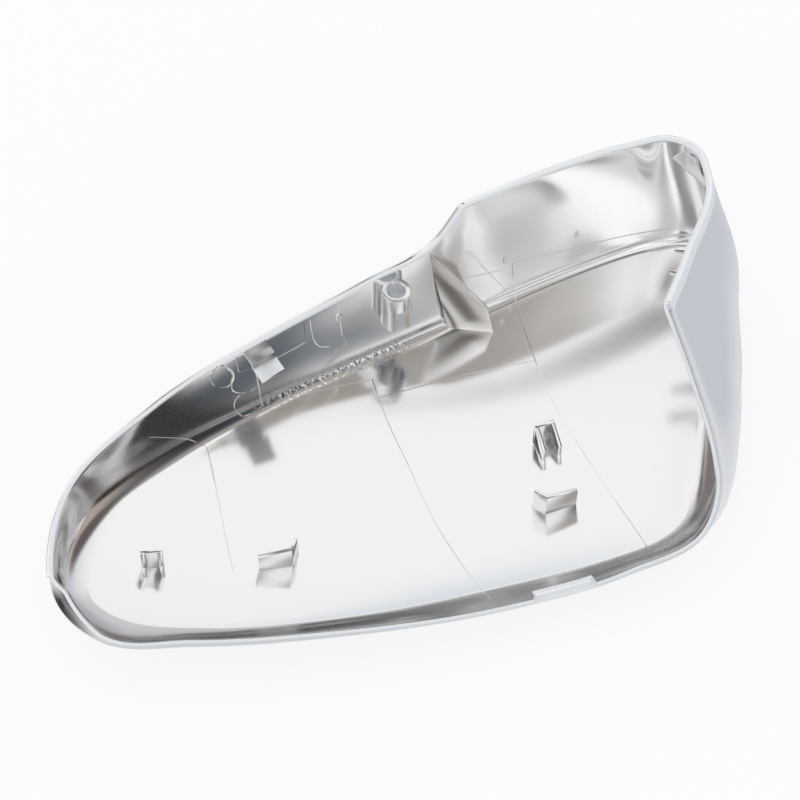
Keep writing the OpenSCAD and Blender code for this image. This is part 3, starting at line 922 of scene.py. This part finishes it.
class COVER_OT_boss(bpy.types.Operator):
    """Build the hooded locating boss with its blind hole and window"""
    bl_idname = "cover.boss"
    bl_label = "Locating boss"

    def execute(self, context):
        s = sizes()
        surface = inner_surface()
        r, hole, foot_r = s.boss_d / 2, s.hole_d / 2, s.boss_d / 2 + BOSS_WIDER
        top, floor = s.boss_h, s.boss_h - s.hole_h
        bm = bmesh.new()
        self.cap(bm, r, hole, top, floor, floor - s.plate)
        self.hood(bm, r, foot_r, floor - s.plate)

        def shares(face):
            spot = face.calc_center_median()
            inside = spot.z > floor - 0.1 and math.hypot(spot.x, spot.y) < hole + 0.05
            return 0.6 if inside else 0.25, 0.0

        marked(bm, shares)
        u, share = BOSS_AT
        at = surface.point(u, share) - surface.direction_out(u) * (foot_r - BOSS_WALL_SHARE * s.wall)
        bmesh.ops.transform(bm, matrix=Matrix.Translation(in_mm(at)), verts=bm.verts)
        in_metres(bm)
        finished("locating_boss", bm, chrome("chrome_boss", satin_faces=True))
        return {"FINISHED"}

    def cap(self, bm, r, hole, top, floor, under):
        """The boss's upper part with the blind hole: its section, with small rounds, spun into a solid."""
        section = [(0, floor), (hole - 0.3, floor), (hole, floor + 0.3), (hole, top - 0.25),
                   (hole + 0.25, top), (r - 0.4, top), (r - 0.12, top - 0.12), (r, top - 0.4),
                   (r + 0.1, under), (r - sizes().plate, under), (0, under)]
        line = [bm.verts.new((x, 0, z)) for x, z in section]
        edges = [bm.edges.new(pair) for pair in zip(line, line[1:])]
        bmesh.ops.spin(bm, geom=line + edges, cent=(0, 0, 0), axis=(0, 0, 1), angle=math.tau, steps=96,
                       use_merge=True, use_duplicate=False)

    def hood(self, bm, r, foot_r, under):
        """The wall below the cap, open at the window and sunk 0.2 mm into the cap."""
        plate = sizes().plate
        section = [(r + 0.1, under + 0.2), (foot_r, 0), (foot_r - plate, 0), (r - plate, under + 0.2)]
        start = Matrix.Rotation(-math.pi / 2 + BOSS_WINDOW / 2, 4, "Z")
        corners = [bm.verts.new(start @ Vector((x, 0, z))) for x, z in section]
        bm.faces.new(corners)
        sides = [bm.edges.get((a, b)) for a, b in zip(corners, corners[1:] + corners[:1])]
        ends = bmesh.ops.spin(bm, geom=corners + sides, cent=(0, 0, 0), axis=(0, 0, 1),
                              angle=math.tau - BOSS_WINDOW, steps=80, use_merge=False,
                              use_duplicate=False)["geom_last"]
        bmesh.ops.contextual_create(bm, geom=only(bmesh.types.BMEdge, ends))


class COVER_OT_gussets(bpy.types.Operator):
    """Build the gusset, the far corner's web and the end wall's pointed ribs"""
    bl_idname = "cover.gussets"
    bl_label = "Gusset, web and ribs"

    def execute(self, context):
        surface = inner_surface()
        metal = chrome("chrome_gussets", satin_faces=True)
        for name, build in (("gusset", self.gusset), ("corner_web", self.web), ("end_ribs", self.ribs)):
            bm = bmesh.new()
            build(bm, surface, sizes().plate)
            in_metres(bm)
            finished(name, bm, metal)
        return {"FINISHED"}

    def gusset(self, bm, surface, plate):
        """A plate that leans from high on the tall wall to the main face, hollowed below."""
        top = in_wall(surface, GUSSET_TOP)
        foot = floor_place(surface, GUSSET_FOOT).translation
        run = foot - top
        reach = math.hypot(run.x, run.y)
        place = Matrix.Translation((top.x, top.y, foot.z)) @ Matrix.Rotation(
            math.atan2(run.y, run.x) - math.pi / 2, 4, "Z")
        slab(bm, [(reach * 0.3, -SUNK), (reach, -SUNK), (reach * 0.88, -run.z * 0.32), (0, -run.z)], plate,
             place)

    def web(self, bm, surface, plate):
        """A thin triangle across the far corner."""
        a, b = (in_wall(surface, at) for at in WEB_ENDS)
        c = a + WEB_REACH
        half = (b - a).cross(c - a).normalized() * plate / 2
        pushed(bm, [p + half for p in (a, b, c)], -2 * half)
        bmesh.ops.recalc_face_normals(bm, faces=bm.faces)
        rounded(bm, bm.edges[:], 0.2)
        marked(bm, lambda face: (0.5, 0.0))

    def ribs(self, bm, surface, plate):
        for at in RIBS_AT:
            slab(bm, RIB, plate, wall_place(surface, at))


class COVER_OT_seams(bpy.types.Operator):
    """Lay the mould's thin raised seam lines and ejector marks on the inside"""
    bl_idname = "cover.seams"
    bl_label = "Seam lines"

    def execute(self, context):
        shell = bpy.data.objects["cover_shell"]
        tree = BVHTree.FromObject(shell, context.evaluated_depsgraph_get())
        bm = bmesh.new()
        for path in FACE_SEAMS:
            self.lay(bm, tree, on_face(np.array(path, float), sizes().wall), SEAM_R)
        for radius, path in WALL_SEAMS:
            self.lay(bm, tree, np.array(path, float), radius)
        finished("seam_lines", bm, chrome("chrome_seams"))

        bm = bmesh.new()
        for mark in MARKS:
            spot, facing, _, _ = tree.find_nearest(Vector(to_part(mark)))
            turn = facing.to_track_quat("Y", "Z").to_matrix().to_4x4()
            shape = Matrix.Diagonal([half * MM for half in MARK_HALVES] + [1])
            bmesh.ops.create_uvsphere(bm, u_segments=24, v_segments=16, radius=1,
                                      matrix=Matrix.Translation(spot) @ turn @ shape)
        finished("ejector_marks", bm, chrome("chrome_marks"))
        return {"FINISHED"}

    def lay(self, bm, tree, path, radius):
        """Adds a round bead along the path, with a little over half of it sunk into the shell."""
        along = np.concatenate([[0], np.cumsum(np.linalg.norm(np.diff(path, axis=0), axis=1))])
        steps = np.linspace(0, along[-1], max(3, int(along[-1] / BEAD_STEP)))
        slope = np.gradient(path, along, axis=0)
        i = np.clip(np.searchsorted(along, steps, side="right") - 1, 0, len(path) - 2)
        span = (along[i + 1] - along[i])[:, None]
        t = (steps - along[i])[:, None] / span
        smooth = hermite(path[i], path[i + 1], slope[i] * span, slope[i + 1] * span, t)
        curve = bpy.data.curves.new("bead", "CURVE")
        curve.dimensions = "3D"
        curve.bevel_depth = radius * MM
        curve.bevel_resolution = 2
        curve.use_fill_caps = True
        spline = curve.splines.new("POLY")
        spline.points.add(len(smooth) - 1)
        for point, target in zip(spline.points, to_part(smooth)):
            spot, facing, _, _ = tree.find_nearest(Vector(target))
            point.co = (*(spot - facing * radius * BEAD_SUNK * MM), 1)
        bead = bpy.data.objects.new("bead", curve)
        mesh = bpy.data.meshes.new_from_object(bead)
        bm.from_mesh(mesh)
        bpy.data.meshes.remove(mesh)
        bpy.data.objects.remove(bead)
        bpy.data.curves.remove(curve)


class COVER_OT_stage(bpy.types.Operator):
    """Lay the pale floor and set the studio's light and camera"""
    bl_idname = "cover.stage"
    bl_label = "Stage"

    def execute(self, context):
        scene = context.scene
        self.lay_floor(scene)
        self.light_world(scene)
        self.place_camera(scene)
        scene.view_settings.view_transform = "Standard"
        return {"FINISHED"}

    def lay_floor(self, scene):
        """A wide pale floor, which the camera sees nearly white and the plating mirrors with painted shade
        and a painted glow.
        """
        bm = bmesh.new()
        bmesh.ops.create_grid(bm, x_segments=1, y_segments=1, size=3)
        mesh = bpy.data.meshes.new("studio_floor")
        bm.to_mesh(mesh)
        bm.free()
        floor = bpy.data.objects.new("studio_floor", mesh)
        scene.collection.objects.link(floor)
        material = bpy.data.materials.new("studio_floor")
        tree = Tree(material, emptied=True)
        paper = tree.add("ShaderNodeBsdfDiffuse", {"Color": (*look().floor, 1)})
        white = tree.add("ShaderNodeEmission", {"Color": (1, 1, 1, 1), "Strength": 1})
        place = tree.add("ShaderNodeTexCoord", {}, "Object")
        # Painted shade and a painted glow that only glossy rays see on the floor: grey darkening away from
        # the middle, and brighter than white on the tip's side
        floor_shade = tree.nodes.new("ShaderNodeValToRGB")
        for element, (away, tone) in zip(floor_shade.color_ramp.elements, MIRRORED_FLOOR_SHADE):
            element.position = away
            element.color = (*tone, 1)
        away = tree.add("ShaderNodeVectorMath", {0: place}, "Value", operation="LENGTH")
        tree.feed(floor_shade.inputs["Fac"], away)
        split = tree.nodes.new("ShaderNodeSeparateXYZ")
        tree.feed(split.inputs[0], place)
        lit = tree.math("MULTIPLY", tree.smooth_range(split.outputs["X"], *GLOW_X),
                        tree.smooth_range(split.outputs["Y"], *GLOW_Y))
        mirrored = tree.add("ShaderNodeEmission",
                            {"Color": tree.colours(lit, floor_shade.outputs["Color"], (*GLOW, 1))})
        path = tree.nodes.new("ShaderNodeLightPath")
        share = tree.math("MULTIPLY", path.outputs["Is Camera Ray"], FLOOR_WHITE)
        seen = tree.shaders(share, paper, white)
        surface = tree.shaders(path.outputs["Is Glossy Ray"], seen, mirrored)
        tree.add("ShaderNodeOutputMaterial", {"Surface": surface})
        mesh.materials.append(material)

    def light_world(self, scene):
        """What the plating mirrors is a white ceiling with darker patches; all other rays see plain white."""
        world = bpy.data.worlds.new("studio")
        scene.world = world
        tree = Tree(world, emptied=True)
        ray = tree.add("ShaderNodeTexCoord", {}, "Generated")
        seen = (*CEILING, 1)
        for azimuth, angle, whole, end, tone in STUDIO:
            level = math.sin(math.radians(angle))
            direction = (level * math.cos(math.radians(azimuth)), level * math.sin(math.radians(azimuth)),
                         math.cos(math.radians(angle)))
            lean = tree.add("ShaderNodeVectorMath", {0: ray, 1: direction}, "Value", operation="DOT_PRODUCT")
            share = tree.smooth_range(lean, math.cos(math.radians(end)), math.cos(math.radians(whole)))
            seen = tree.colours(share, seen, (*tone, 1))
        room = tree.add("ShaderNodeBackground", {"Color": seen, "Strength": 1})
        plain = tree.add("ShaderNodeBackground", {"Color": (1, 1, 1, 1), "Strength": 1})
        glossy = tree.add("ShaderNodeLightPath", {}, "Is Glossy Ray")
        tree.add("ShaderNodeOutputWorld", {"Surface": tree.shaders(glossy, plain, room)})

    def place_camera(self, scene):
        data = bpy.data.cameras.new("photo_camera")
        data.sensor_width = CAMERA_SENSOR
        data.lens = CAMERA_LENS
        camera = bpy.data.objects.new("photo_camera", data)
        scene.collection.objects.link(camera)
        level = math.cos(CAMERA_ELEVATION)
        back = Vector((math.sin(CAMERA_AZIMUTH) * level, -math.cos(CAMERA_AZIMUTH) * level,
                       math.sin(CAMERA_ELEVATION)))
        camera.location = Vector(to_part(CAMERA_AIM)) + back * look().distance
        camera.rotation_euler = back.to_track_quat("Z", "Y").to_euler()
        scene.camera = camera


class COVER_PT_panel(bpy.types.Panel):
    """Sizes, colours and steps of the mirror cover"""
    bl_idname = "COVER_PT_panel"
    bl_label = "Mirror Cover"
    bl_space_type = "VIEW_3D"
    bl_region_type = "UI"
    bl_category = "Mirror Cover"

    def draw(self, context):
        for group in (context.scene.cover_sizes, context.scene.cover_look):
            box = self.layout.box()
            for key in group.__annotations__:
                box.prop(group, key)
        for step in STEPS:
            self.layout.operator(step.bl_idname)


STEPS = (COVER_OT_shell, COVER_OT_sockets, COVER_OT_guides, COVER_OT_tongue, COVER_OT_boss, COVER_OT_gussets,
         COVER_OT_seams, COVER_OT_stage)
CLASSES = (CoverSizes, CoverLook) + STEPS + (COVER_PT_panel,)


def register():
    for cls in CLASSES:
        bpy.utils.register_class(cls)
    bpy.types.Scene.cover_sizes = PointerProperty(type=CoverSizes)
    bpy.types.Scene.cover_look = PointerProperty(type=CoverLook)


def unregister():
    del bpy.types.Scene.cover_look
    del bpy.types.Scene.cover_sizes
    for cls in reversed(CLASSES):
        bpy.utils.unregister_class(cls)


def main():
    register()
    for step in STEPS:
        group, name = step.bl_idname.split(".")
        getattr(getattr(bpy.ops, group), name)()


if __name__ == "__main__":
    main()
